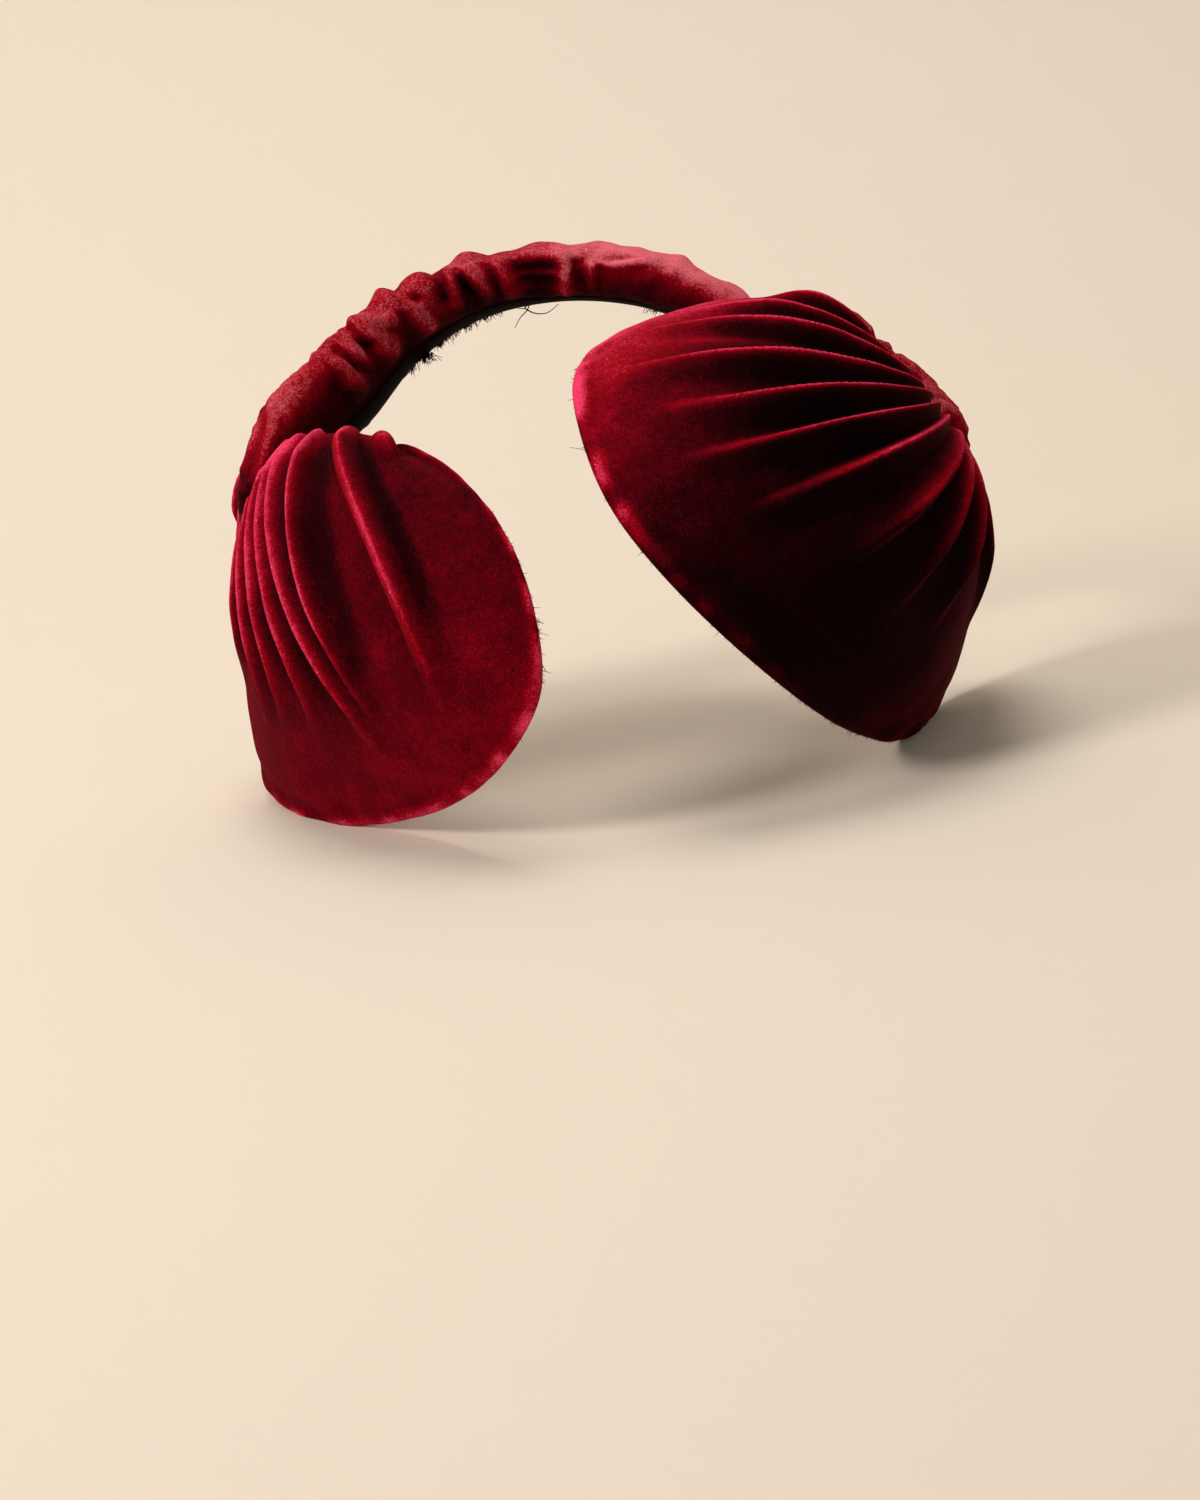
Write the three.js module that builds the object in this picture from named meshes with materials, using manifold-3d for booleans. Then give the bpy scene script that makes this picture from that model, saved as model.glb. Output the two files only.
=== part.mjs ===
// Half hat: two stiff pleated velvet fans carried by a ruched velvet band.
// Millimetres, +Z up, the front of the hat faces -Y.
// The tables are measured from the middle of the round crown that the hat sits on:
// x to the wearer's left, y towards the back, z up. The whole hat is then
// tipped a little, so that it stands on the lower edges of its two fans.

import * as THREE from "three";
import { mergeVertices } from "three/addons/utils/BufferGeometryUtils.js";
import Module from "manifold-3d";

const wasm = await Module();
wasm.setup();

// Driving dimensions
const CROWN = [80, 95, 82]; // half axes of the crown that the hat follows
const CLOTH_WALL = 2.6; // velvet over its stiffener
const RIM_ROLL = 4.2; // thickness of the turned edge of a fan
const RIM_WIDTH = 7; // how far in from the edge the turning reaches
const PLEAT_SINK = 1.6; // depth of the valleys between the pleats
const SEAT_GAP = 0.3; // between pieces that are sewn together
const LINING_WALL = 0.9; // ribbon on the inner side of the band
const LINING_SIDES = [8, 11]; // sides of the band's section that it covers
const LINING_PLACES = [0.08, 0.9]; // where along the band it starts and ends
const REST_PITCH = 4; // degrees, nods the hat into its resting pose
const REST_ROLL = 7.3; // degrees, leans it onto both fans
const FOOT_DEPTH = 1.4; // how much of each lower edge is flattened

const VELVET = 0x8c0418;
const RIBBON = 0x1c0f0c;

const ALONG_BAND = 72;
const ROUND_BAND = 14;
const ACROSS_FAN = 11;
const ROUND_RIM = 3;

// Band: middle of the padded roll, its width front to back, its thickness,
// and how far its inner side turns forward
const BAND = [
  // x, y, z, width, thickness, tilt
  [-87, -10, 43, 22, 14, 25],
  [-81.5, 0, 49, 28, 16, 35],
  [-69.5, 10.8, 58, 30, 17, 38],
  [-55.8, 22, 70.3, 28, 17, 34],
  [-35.4, 30, 80.2, 25, 15.5, 24],
  [-10, 33, 84.9, 22, 14.5, 14],
  [15, 32, 83.2, 22, 14.5, 10],
  [36, 27.5, 75, 21, 13.5, 8],
  [51, 21, 64.5, 18, 12, 5],
  [63, 13, 69.5, 20, 17, 5],
  [75.2, 4.5, 63, 20, 16, 5],
  [88.6, -2.5, 53.8, 20, 14, 5],
  [96.5, -5, 43, 18, 12, 5],
];

// Ruching: each fold crosses the outer side of the band at a slant
const BAND_FOLDS = [
  // along, height, half length, slant, from angle, to angle
  [0.06, 1.6, 0.020, 0.02, 0, 180],
  [0.12, 2.0, 0.020, 0.03, 10, 190],
  [0.17, 1.7, 0.018, -0.02, -10, 150],
  [0.22, 2.2, 0.022, 0.03, 0, 180],
  [0.27, 1.6, 0.018, 0.02, 20, 200],
  [0.32, 2.2, 0.022, -0.02, -10, 160],
  [0.37, 1.5, 0.018, 0.02, 0, 180],
  [0.42, 1.4, 0.016, 0.01, 10, 190],
  [0.47, 1.5, 0.018, -0.01, -10, 170],
  [0.52, 1.2, 0.016, 0.01, 0, 180],
  [0.58, 1.4, 0.020, 0.02, -10, 150],
  [0.64, 1.2, 0.020, 0.02, 10, 190],
  [0.70, 1.6, 0.020, -0.02, 0, 180],
  [0.76, 1.5, 0.020, 0.02, 0, 180],
  [0.82, 1.8, 0.020, 0.03, -10, 180],
  [0.88, 1.6, 0.018, 0.02, 0, 180],
  [0.94, 1.4, 0.018, 0.02, 0, 180],
];

// Right of the picture: the fan that points forward over the brow
const RIGHT_FAN = {
  name: "right_fan",
  // x, y, z of the line along which the cloth is gathered, the place on
  // the band behind it, and how firmly the band holds it (0 is a free edge)
  gather: [
    [60, 4, 76, 0.75, 1],
    [76, -3, 67, 0.83, 1],
    [82.5, -9, 60.5, 0.88, 1],
    [88, -14, 54.5, 0.92, 1],
    [94, -14, 44, 0.97, 1],
    [101, -4, 36, 0.995, 1],
    [103, 10, 34, 0.995, 0.3],
  ],
  // x, y, z of the free edge, share of the gather line, bulge
  rim: [
    [56, 6, 71, 0.0, 5],
    [38, 2, 79, 0.05, 10],
    [14, -14, 81, 0.12, 16],
    [-4, -38, 78, 0.2, 18],
    [-6, -60, 70, 0.28, 22],
    [2, -82, 53, 0.36, 24],
    [18, -92, 34, 0.44, 24],
    [41, -89, 10, 0.54, 24],
    [62, -68, -13, 0.62, 23],
    [77.5, -43, -26.5, 0.7, 17],
    [87.5, -22, -31, 0.78, 11],
    [95, -4, -27, 0.86, 8],
    [99, 12, -12, 0.93, 5],
    [101, 20, 8, 1.0, 4],
  ],
  // spans of the rim, and how many strips each is built from
  spans: [
    [0.0, 7],
    [0.18, 46],
    [0.68, 11],
  ],
  // pleats: place at the gather, at mid length and at the end, how far
  // each reaches, its height, half widths above and below, and the
  // share of the length that it rises over
  pleats: [
    [0.1, 0.08, 0.06, 0.5, 3.2, 3.5, 4.5, 0.1],
    [0.19, 0.15, 0.13, 0.6, 3.4, 3.5, 4.5, 0.1],
    [0.275, 0.215, 0.195, 0.7, 3.4, 3.5, 4.5, 0.1],
    [0.385, 0.287, 0.229, 0.78, 3.6, 3.2, 4.6, 0.1],
    [0.42, 0.344, 0.292, 0.84, 3.8, 3.0, 4.6, 0.1],
    [0.45, 0.389, 0.343, 0.86, 4.2, 3.0, 4.8, 0.1],
    [0.48, 0.43, 0.388, 0.86, 4.4, 3.0, 5.0, 0.1],
    [0.51, 0.474, 0.449, 0.82, 4.4, 3.2, 5.0, 0.1],
    [0.54, 0.525, 0.505, 0.8, 4.4, 4.4, 3.2, 0.1],
    [0.555, 0.562, 0.56, 0.76, 4.2, 4.4, 3.4, 0.1],
    [0.575, 0.6, 0.6, 0.7, 4.0, 4.0, 3.4, 0.1],
    [0.6, 0.66, 0.7, 0.6, 3.4, 4.0, 3.4, 0.1],
    [0.68, 0.74, 0.78, 0.6, 3.0, 4.0, 3.4, 0.1],
    [0.78, 0.82, 0.85, 0.6, 3.0, 4.0, 3.4, 0.1],
    [0.88, 0.9, 0.92, 0.6, 2.6, 4.0, 3.4, 0.1],
  ],
};

// Left of the picture: the fan that hangs down beside the temple
const LEFT_FAN = {
  name: "left_fan",
  gather: [
    [-54, -43, 58, 0.06, 0],
    [-62, -38, 58, 0.05, 0],
    [-71, -31, 56, 0.05, 0.3],
    [-80, -21, 51.5, 0.03, 1],
    [-89, -12, 43, 0.01, 1],
    [-94, 0, 38, 0.01, 1],
    [-96, 11, 36, 0.02, 0.2],
  ],
  rim: [
    [-50, -47, 58, 0.0, 0.5],
    [-36, -65, 55, 0.03, 2],
    [-24, -81, 46, 0.08, 8],
    [-16, -93, 30, 0.14, 14],
    [-14, -99, 8, 0.2, 19],
    [-24, -93, -14, 0.28, 22],
    [-38, -78, -31, 0.36, 22],
    [-56, -60, -43, 0.45, 21],
    [-75, -42, -50, 0.54, 16.5],
    [-90, -20, -50, 0.64, 10],
    [-93.5, 0, -42, 0.74, 6],
    [-94, 16, -24, 0.84, 5],
    [-95, 24, -4, 0.93, 6],
    [-94, 26, 16, 1.0, 5],
  ],
  spans: [
    [0.0, 6],
    [0.15, 44],
    [0.68, 12],
  ],
  pleats: [
    [0.15, 0.16, 0.18, 0.22, 3.5, 5.0, 5.0, 0.05],
    [0.27, 0.335, 0.381, 0.82, 4.8, 4.6, 4.6, 0.1],
    [0.375, 0.352, 0.372, 0.8, 3.4, 3.4, 3.4, 0.1],
    [0.46, 0.452, 0.458, 0.66, 4.6, 4.6, 3.6, 0.1],
    [0.55, 0.49, 0.471, 0.86, 4.4, 4.2, 3.4, 0.1],
    [0.6, 0.525, 0.541, 0.78, 4.2, 4.0, 3.4, 0.1],
    [0.65, 0.565, 0.594, 0.75, 4.0, 4.0, 3.4, 0.1],
    [0.69, 0.61, 0.63, 0.75, 3.6, 4.0, 3.4, 0.1],
    [0.74, 0.68, 0.69, 0.7, 3.2, 4.0, 3.4, 0.1],
    [0.8, 0.76, 0.77, 0.7, 3.0, 4.0, 3.4, 0.1],
    [0.87, 0.84, 0.85, 0.6, 2.8, 4.0, 3.4, 0.1],
    [0.94, 0.92, 0.92, 0.6, 2.4, 4.0, 3.4, 0.1],
  ],
};

const clamp = THREE.MathUtils.clamp;
const radians = THREE.MathUtils.degToRad;
const smooth = (v) => THREE.MathUtils.smoothstep(v, 0, 1);

// A smooth curve through the rows of a table, at 0 to 1 of its length
function through(rows, at) {
  const last = rows.length - 1;
  const place = clamp(at * last, 0, last - 1e-9);
  const index = Math.floor(place);
  const f = place - index;
  const b = rows[index];
  const c = rows[index + 1];
  return b.map((value, k) => {
    const before = index === 0 ? 2 * b[k] - c[k] : rows[index - 1][k];
    const after = index + 2 > last ? 2 * c[k] - b[k] : rows[index + 2][k];
    const curve = 2 * before - 5 * value + 4 * c[k] - after;
    const twist = 3 * (value - c[k]) + after - before;
    return value + 0.5 * f * (c[k] - before + f * (curve + f * twist));
  });
}

// Straight away from the crown at a point
function awayFromCrown(point) {
  const away = new THREE.Vector3(
    point.x / CROWN[0] ** 2,
    point.y / CROWN[1] ** 2,
    point.z / CROWN[2] ** 2,
  );
  return away.normalize();
}

// How far a fan swells between its gather (0) and its rim (1)
function swell(u) {
  return Math.sin(Math.PI * clamp(u, 0, 1) ** 0.9) ** 0.85;
}

// The fan's stiffened surface, without its pleats
function fanSurface(fan, t, u) {
  const [x, y, z, share, bulge] = through(fan.rim, t);
  const rim = new THREE.Vector3(x, y, z);
  const gather = new THREE.Vector3(...through(fan.gather, clamp(share, 0, 1)).slice(0, 3));
  const point = gather.lerp(rim, u);
  return point.addScaledVector(awayFromCrown(point), bulge * swell(u));
}

// The direction that its outer face looks in
function fanFacing(fan, t, u) {
  const step = 0.002;
  const along = fanSurface(fan, clamp(t + step, 0, 1), u);
  along.sub(fanSurface(fan, clamp(t - step, 0, 1), u));
  const inner = clamp(u, 0.03, 0.97);
  const out = fanSurface(fan, t, inner + 0.02);
  out.sub(fanSurface(fan, t, inner - 0.02));
  const facing = along.cross(out).normalize();
  const away = awayFromCrown(fanSurface(fan, t, u));
  return facing.dot(away) < 0 ? facing.negate() : facing;
}

// Length of the fan's cloth along a line of equal u
function girth(fan, u) {
  let length = 0;
  let before = fanSurface(fan, 0, u);
  for (let i = 1; i <= 60; i += 1) {
    const here = fanSurface(fan, i / 60, u);
    length += here.distanceTo(before);
    before = here;
  }
  return length;
}

// Height of the pleats above the surface
function pleatHeight(fan, t, u, length) {
  let height = 0;
  for (const row of fan.pleats) {
    const [start, middle, end, reach, top, above, below, rise] = row;
    const v = clamp(u / reach, 0, 1);
    const place =
      start * (1 - v) * (1 - 2 * v) + 4 * middle * v * (1 - v) + end * v * (2 * v - 1);
    const off = (t - place) * length;
    const side = (off < 0 ? above : below) * (0.75 + 0.5 * v);
    if (Math.abs(off) < side && u < reach) {
      const profile = Math.cos((0.5 * Math.PI * off) / side) ** 1.5;
      const fade = (0.4 + 0.6 * smooth(u / rise)) * (1 - smooth((v - 0.6) / 0.4));
      height = Math.max(height, top * profile * fade);
    }
  }
  return height;
}

// Band: the middle of the roll, with the directions out and forward
function bandFrame(t) {
  const step = 1e-3;
  const row = through(BAND, t);
  const centre = new THREE.Vector3(...row.slice(0, 3));
  const ahead = new THREE.Vector3(...through(BAND, clamp(t + step, 0, 1)).slice(0, 3));
  const behind = new THREE.Vector3(...through(BAND, clamp(t - step, 0, 1)).slice(0, 3));
  const along = ahead.sub(behind).normalize();
  const out = awayFromCrown(centre);
  out.addScaledVector(along, -out.dot(along)).normalize();
  out.applyAxisAngle(along, radians(-row[5]));
  const across = new THREE.Vector3().crossVectors(along, out);
  return { centre, along, out, across, width: row[3], thickness: row[4] };
}

// Height of the ruching; none on the inner side, where the ribbon lies
function ruching(t, angle) {
  const turn = THREE.MathUtils.euclideanModulo(angle + 90, 360) - 90;
  let height = 0;
  for (const [along, top, half, slant, from, to] of BAND_FOLDS) {
    const mid = (from + to) / 2;
    const span = (to - from) / 2 + 25;
    const girthwise = (turn - mid) / span;
    const off = (t - along - (slant * (turn - 90)) / 180) / half;
    if (Math.abs(off) < 1 && Math.abs(girthwise) < 1) {
      const profile = Math.cos(0.5 * Math.PI * off) ** 2;
      height = Math.max(height, top * profile * Math.cos(0.5 * Math.PI * girthwise) ** 0.5);
    }
  }
  const middle = (180 * (LINING_SIDES[0] + LINING_SIDES[1])) / ROUND_BAND;
  const half = (180 * (LINING_SIDES[1] - LINING_SIDES[0])) / ROUND_BAND;
  const off = Math.abs(THREE.MathUtils.euclideanModulo(angle - middle + 180, 360) - 180);
  return height * smooth((off - half - 2) / 30);
}

// A point on the skin of the band, or that much above it
function bandPoint(t, angle, above, ruched) {
  const { centre, out, across, width, thickness } = bandFrame(t);
  const lift = above + (ruched ? ruching(t, angle) : 0);
  const turn = radians(angle);
  const a = width / 2;
  const b = thickness / 2;
  const skin = centre
    .clone()
    .addScaledVector(across, a * Math.cos(turn))
    .addScaledVector(out, b * Math.sin(turn));
  const facing = new THREE.Vector3()
    .addScaledVector(across, Math.cos(turn) / a)
    .addScaledVector(out, Math.sin(turn) / b)
    .normalize();
  return skin.addScaledVector(facing, lift);
}

// Loops of points, one after another, skinned and closed at both ends
function loft(loops, capPairs) {
  const positions = [];
  for (const loop of loops) {
    for (const point of loop) {
      positions.push(point.x, point.y, point.z);
    }
  }
  const count = loops[0].length;
  const faces = [];
  for (let i = 0; i + 1 < loops.length; i += 1) {
    for (let j = 0; j < count; j += 1) {
      const a = i * count + j;
      const b = i * count + ((j + 1) % count);
      faces.push(a, b, b + count, a, b + count, a + count);
    }
  }
  const end = (loops.length - 1) * count;
  for (const [a, b, c] of capPairs) {
    faces.push(c, b, a);
    faces.push(end + a, end + b, end + c);
  }
  const geometry = new THREE.BufferGeometry();
  geometry.setAttribute("position", new THREE.Float32BufferAttribute(positions, 3));
  geometry.setIndex(faces);
  return geometry;
}

// Triangles that close a loop whose first half faces its second half
function ladder(count) {
  const caps = [];
  let low = 0;
  let high = count - 1;
  while (high - low > 1) {
    caps.push([low, low + 1, high]);
    low += 1;
    if (high - low > 1) {
      caps.push([low, high - 1, high]);
      high -= 1;
    }
  }
  return caps;
}

function signedVolume(geometry) {
  const p = geometry.getAttribute("position");
  const index = geometry.getIndex();
  const [a, b, c] = [new THREE.Vector3(), new THREE.Vector3(), new THREE.Vector3()];
  let sum = 0;
  for (let i = 0; i < index.count; i += 3) {
    a.fromBufferAttribute(p, index.getX(i));
    b.fromBufferAttribute(p, index.getX(i + 1));
    c.fromBufferAttribute(p, index.getX(i + 2));
    sum += a.dot(b.cross(c));
  }
  return sum / 6;
}

// Closed mesh to solid, turned so that its faces look outwards
function toSolid(geometry) {
  const merged = mergeVertices(geometry, 1e-3);
  const triVerts = new Uint32Array(merged.getIndex().array);
  if (signedVolume(merged) < 0) {
    for (let i = 0; i < triVerts.length; i += 3) {
      [triVerts[i], triVerts[i + 1]] = [triVerts[i + 1], triVerts[i]];
    }
  }
  const vertProperties = new Float32Array(merged.getAttribute("position").array);
  return new wasm.Manifold(new wasm.Mesh({ numProp: 3, vertProperties, triVerts }));
}

function toGeometry(solid) {
  const { vertProperties, triVerts } = solid.getMesh();
  const geometry = new THREE.BufferGeometry();
  geometry.setAttribute("position", new THREE.Float32BufferAttribute(vertProperties, 3));
  geometry.setIndex(Array.from(triVerts));
  return geometry;
}

// The largest body of a cut solid, without crumbs
function mainBody(solid) {
  const bodies = toSolid(toGeometry(solid)).decompose();
  bodies.sort((a, b) => b.volume() - a.volume());
  return bodies[0];
}

// Places along the rim: closer together where the pleats are
function stations(spans) {
  const places = [];
  spans.forEach(([from, strips], k) => {
    const to = k + 1 < spans.length ? spans[k + 1][0] : 1;
    for (let i = 0; i < strips; i += 1) {
      places.push(from + ((to - from) * i) / strips);
    }
  });
  places.push(1);
  return places;
}

// One fan: outer face, turned edge and inner face as one loop per station
function fanSolid(fan) {
  const lengths = [];
  for (let j = 0; j <= ACROSS_FAN; j += 1) {
    lengths.push(girth(fan, j / ACROSS_FAN));
  }
  const loops = stations(fan.spans).map((t) => {
    const share = clamp(through(fan.rim, t)[3], 0, 1);
    const [, , , place, hold] = through(fan.gather, share);
    const start = fanSurface(fan, t, 0);
    const root = start.clone().lerp(fanSurface(fan, t, 0.05), -0.4);
    root.lerp(bandFrame(clamp(place, 0, 1)).centre, clamp(hold, 0, 1));
    const outer = [];
    const inner = [];
    const reach = fanSurface(fan, t, 1).distanceTo(start);
    const edge = 1 - RIM_ROLL / 2 / reach;
    for (let j = 0; j <= ACROSS_FAN; j += 1) {
      const u = (edge * j) / ACROSS_FAN;
      const base = fanSurface(fan, t, u);
      const facing = fanFacing(fan, t, u);
      const turned = (RIM_ROLL - CLOTH_WALL) * smooth(1 - ((1 - u) * reach) / RIM_WIDTH);
      const sink = PLEAT_SINK * smooth(u / 0.1) * (1 - smooth((u - 0.55) / 0.35));
      const height = pleatHeight(fan, t, u, lengths[j]) + 0.5 * turned - sink;
      const depth = CLOTH_WALL + 0.5 * turned + sink;
      outer.push(base.clone().addScaledVector(facing, height));
      inner.push(base.clone().addScaledVector(facing, -depth));
      if (j === 0) {
        outer.unshift(root.clone().addScaledVector(facing, 0.3 * CLOTH_WALL));
        inner.unshift(root.clone().addScaledVector(facing, -0.7 * CLOTH_WALL));
      }
    }
    const top = outer[outer.length - 1];
    const bottom = inner[inner.length - 1];
    const middle = top.clone().lerp(bottom, 0.5);
    const up = top.clone().sub(middle);
    const out = fanSurface(fan, t, 1).sub(fanSurface(fan, t, 0.94)).normalize();
    const roll = [];
    for (let k = 1; k <= ROUND_RIM; k += 1) {
      const angle = Math.PI / 2 - (Math.PI * k) / (ROUND_RIM + 1);
      const bead = middle.clone().addScaledVector(up, Math.sin(angle));
      roll.push(bead.addScaledVector(out, (RIM_ROLL / 2) * Math.cos(angle)));
    }
    return [...outer, ...roll, ...inner.reverse()];
  });
  return toSolid(loft(loops, ladder(loops[0].length)));
}

function bandSolid(above, ruched) {
  const loops = [];
  const angles = Array.from({ length: ROUND_BAND }, (_, k) => (360 * k) / ROUND_BAND);
  for (let i = 0; i <= ALONG_BAND; i += 1) {
    const t = i / ALONG_BAND;
    loops.push(angles.map((angle) => bandPoint(t, angle, above, ruched)));
  }
  const first = bandFrame(0);
  const last = bandFrame(1);
  const domed = (loop, frame, way) =>
    loop.map((point) => {
      const pulled = frame.centre.clone().lerp(point, 0.62);
      return pulled.addScaledVector(frame.along, way * (2.4 + above));
    });
  loops.unshift(domed(loops[0], first, -1));
  loops.push(domed(loops[loops.length - 1], last, 1));
  return toSolid(loft(loops, ladder(ROUND_BAND)));
}

// Ribbon that covers the inner side of the band, parallel to its facets
function liningSolid(margin, under, over) {
  const first = Math.round(LINING_PLACES[0] * ALONG_BAND);
  const last = Math.round(LINING_PLACES[1] * ALONG_BAND);
  const side = 360 / ROUND_BAND;
  const angles = [LINING_SIDES[0] * side - margin];
  for (let k = LINING_SIDES[0] + 1; k < LINING_SIDES[1]; k += 1) {
    angles.push(k * side);
  }
  angles.push(LINING_SIDES[1] * side + margin);
  const loops = [];
  for (let i = first; i <= last; i += 1) {
    const t = i / ALONG_BAND;
    const near = angles.map((angle) => bandPoint(t, angle, under, false));
    const far = angles.map((angle) => bandPoint(t, angle, over, false));
    loops.push([...near, ...far.reverse()]);
  }
  return toSolid(loft(loops, ladder(loops[0].length)));
}

// The hat's own pose, and the floor in the frame of the tables
const hat = new THREE.Group();
hat.rotation.set(radians(REST_PITCH), radians(REST_ROLL), 0);
hat.updateMatrixWorld(true);

const band = bandSolid(0, true);
const liningTop = SEAT_GAP + LINING_WALL;
const lining = liningSolid(0, SEAT_GAP, liningTop);
const ribbonRoom = liningSolid(4, -1, liningTop + SEAT_GAP);
const keepOff = bandSolid(SEAT_GAP, true).add(ribbonRoom);
const leftFan = mainBody(fanSolid(LEFT_FAN).subtract(keepOff));
const rightFan = mainBody(fanSolid(RIGHT_FAN).subtract(keepOff));

// Flat feet: what lies lower than the floor is trimmed away
const down = new THREE.Vector3(0, 0, 1).applyQuaternion(hat.quaternion.clone().invert());
let lowest = Infinity;
for (const solid of [leftFan, rightFan]) {
  const { vertProperties } = solid.getMesh();
  for (let i = 0; i < vertProperties.length; i += 3) {
    const p = new THREE.Vector3(vertProperties[i], vertProperties[i + 1], vertProperties[i + 2]);
    lowest = Math.min(lowest, p.dot(down));
  }
}
const floor = lowest + FOOT_DEPTH;
const trimmed = (solid) => mainBody(solid.trimByPlane([down.x, down.y, down.z], floor));

function pieceMesh(name, solid, color, roughness) {
  const material = new THREE.MeshStandardMaterial({ color, roughness, metalness: 0 });
  const mesh = new THREE.Mesh(toGeometry(solid), material);
  mesh.name = name;
  return mesh;
}

hat.add(pieceMesh("left_fan", trimmed(leftFan), VELVET, 0.85));
hat.add(pieceMesh("right_fan", trimmed(rightFan), VELVET, 0.85));
hat.add(pieceMesh("band_cover", band, VELVET, 0.85));
hat.add(pieceMesh("band_lining", lining, RIBBON, 0.9));

const box = new THREE.Box3().setFromObject(hat, true);
hat.position.set(-(box.min.x + box.max.x) / 2, -(box.min.y + box.max.y) / 2, -box.min.z);

const object = new THREE.Group();
object.add(hat);

export default object;
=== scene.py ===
# %% [markdown]
# A velvet half hat, dressed for the camera.
# The hat is two stiff fans of pleated velvet, joined by a ruched velvet band
# that arches high between them. Every piece here lies over one of the
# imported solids, and adds the fine folds, the pile and the wear.

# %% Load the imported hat
import math

import bmesh
import bpy
import numpy as np
from mathutils import Matrix, Vector, noise


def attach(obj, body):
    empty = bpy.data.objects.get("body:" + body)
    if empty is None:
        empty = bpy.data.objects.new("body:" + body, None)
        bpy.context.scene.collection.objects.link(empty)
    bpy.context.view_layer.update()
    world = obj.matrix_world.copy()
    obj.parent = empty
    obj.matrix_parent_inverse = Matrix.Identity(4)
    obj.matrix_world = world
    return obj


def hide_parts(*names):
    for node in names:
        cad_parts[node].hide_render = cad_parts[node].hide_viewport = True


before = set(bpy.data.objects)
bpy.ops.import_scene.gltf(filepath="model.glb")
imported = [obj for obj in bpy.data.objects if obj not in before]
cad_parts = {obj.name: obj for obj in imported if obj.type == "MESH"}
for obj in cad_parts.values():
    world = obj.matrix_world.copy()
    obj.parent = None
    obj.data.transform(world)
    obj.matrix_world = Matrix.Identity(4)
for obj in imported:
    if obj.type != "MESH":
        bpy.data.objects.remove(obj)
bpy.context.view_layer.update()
print("nodes", sorted(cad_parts))

# %% [markdown]
# The tables are in millimetres, measured from the middle of the round dome
# that the hat curves about. Standing free it tips a little, on the lowest
# edges of its fans, so one matrix carries every point to the stand. Its
# shift puts the middle of the solids' box over the origin, on the floor.

# %% From the dome to the stand
MM = 0.001
REST_PITCH = 4.0
REST_ROLL = 7.3
REST_SHIFT = (-4.841739, 31.261293, 41.50437)
pitch = Matrix.Rotation(math.radians(REST_PITCH), 4, "X")
roll = Matrix.Rotation(math.radians(REST_ROLL), 4, "Y")
to_stand = Matrix.Translation(Vector(REST_SHIFT)) @ pitch @ roll
STAND = np.array(to_stand)


def stand(points):
    """Table points in millimetres to scene points in metres."""
    moved = points @ STAND[:3, :3].T + STAND[:3, 3]
    return moved * MM


print("middle of the dome", round(REST_SHIFT[2], 1), "mm over the floor")

# %% [markdown]
# The camera comes first, because every fold is judged through it. The
# photograph looks down on the hat by 18 degrees from a metre away, with a
# long lens. Tipping the camera with the hat keeps the picture the same.

# %% Camera
FRAME_WIDTH = 1200
FRAME_HEIGHT = 1500
DOME_PIXEL_X = 597.0
DOME_PIXEL_Y = 600.0
LENS_MM = 86.4
SENSOR_MM = 36.0
DISTANCE = 1000.0
ELEVATION = math.radians(18.0)
lens_pixels = FRAME_HEIGHT * LENS_MM / SENSOR_MM
eye = DISTANCE * Vector((0, -math.cos(ELEVATION), math.sin(ELEVATION)))
drop = ELEVATION + math.atan((FRAME_HEIGHT / 2 - DOME_PIXEL_Y) / lens_pixels)
turn = math.atan((FRAME_WIDTH / 2 - DOME_PIXEL_X) / lens_pixels)
level = Vector((math.sin(turn), math.cos(turn), 0))
ahead = level * math.cos(drop) - Vector((0, 0, math.sin(drop)))
aside = ahead.cross(Vector((0, 0, 1))).normalized()
above = aside.cross(ahead)
aim = Matrix((aside, above, -ahead)).transposed().to_4x4()
placed = to_stand @ Matrix.Translation(eye) @ aim
placed.translation *= MM
camera_data = bpy.data.cameras.new("camera")
camera_data.lens = LENS_MM
camera_data.sensor_width = SENSOR_MM
camera_data.clip_start = 0.05
camera = bpy.data.objects.new("camera", camera_data)
bpy.context.scene.collection.objects.link(camera)
camera.matrix_world = placed
bpy.context.scene.camera = camera
print("camera height", round(placed.translation.z, 3))

# %% [markdown]
# Tables of the band and of both fans. A row is one place along the piece,
# and a smooth curve runs through the rows. They follow the tables that the
# solids were made from, so that the cloth lies where its solid does.

# %% Sizes
# Half the dome's width, depth and height.
DOME = np.array([80.0, 95.0, 82.0])
# A fan's wall, the roll at its rim, and how far in the roll thickens it.
CLOTH_WALL = 2.6
RIM_ROLL = 4.2
RIM_WIDTH = 7.0
# How far the cloth between the pleats lies below the plain shell.
PLEAT_SINK = 1.6
print("dome", DOME * 2, "mm")

# %% Band table
# x, y, z, width, thickness, tilt
BAND = np.array([
    [-92.5, -15, 14, 11, 4, 20],
    [-92, -12, 31, 20, 9, 25],
    [-87, -10, 43, 22, 14, 25],
    [-81.5, 0, 49, 28, 16, 35],
    [-69.2, 10.6, 57.6, 29, 15, 38],
    [-55.6, 22.0, 70.4, 27.5, 14, 34],
    [-35.4, 30.0, 80.6, 24.5, 13.8, 22],
    [-10, 33.0, 85.0, 22, 14.2, 12],
    [15, 32.0, 83.2, 22, 14.4, 9],
    [36, 27.5, 75, 21, 13.5, 8],
    [51, 21, 64.5, 18, 12, 5],
    [63, 13, 69.5, 20, 17, 5],
    [75.2, 4.5, 63, 20, 16, 5],
    [88.6, -2.5, 53.8, 20, 14, 5],
    [96.5, -5, 43, 18, 12, 5],
])

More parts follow.
